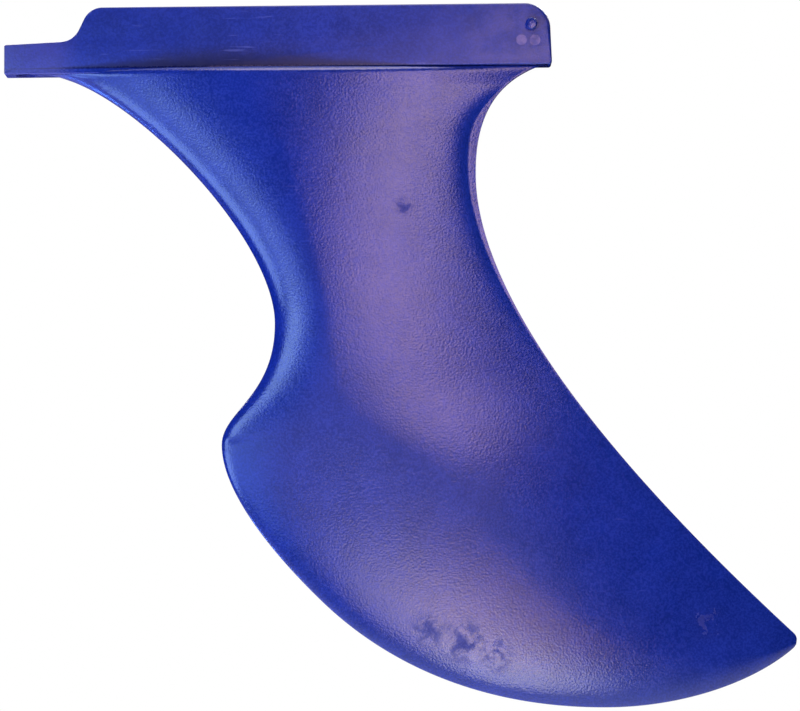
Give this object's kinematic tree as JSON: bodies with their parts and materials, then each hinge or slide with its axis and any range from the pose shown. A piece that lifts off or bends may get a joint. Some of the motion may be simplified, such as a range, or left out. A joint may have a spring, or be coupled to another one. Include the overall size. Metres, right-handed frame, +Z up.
{
  "type": "sailboard fin",
  "caption": "Swept moulded plastic fin with a wide lower lobe, a flat tab for a slotted fin box, a screw tongue and a cross pin.",
  "frame": {"origin": "where the tongue screw's axis meets the plane of the board's bottom, in the fin's middle plane", "axes": "+X aft along the board, +Y to starboard, +Z up into the board"},
  "size_m": [0.3142, 0.0172, 0.2824],
  "materials": {
    "fin_plastic": "satin ultramarine plastic with a fine moulded grain",
    "pin_plastic": "satin ultramarine plastic rod"
  },
  "bodies": {
    "root": {"fin_moulding": "fin_plastic", "cross_pin": "pin_plastic"}
  },
  "joints": []
}
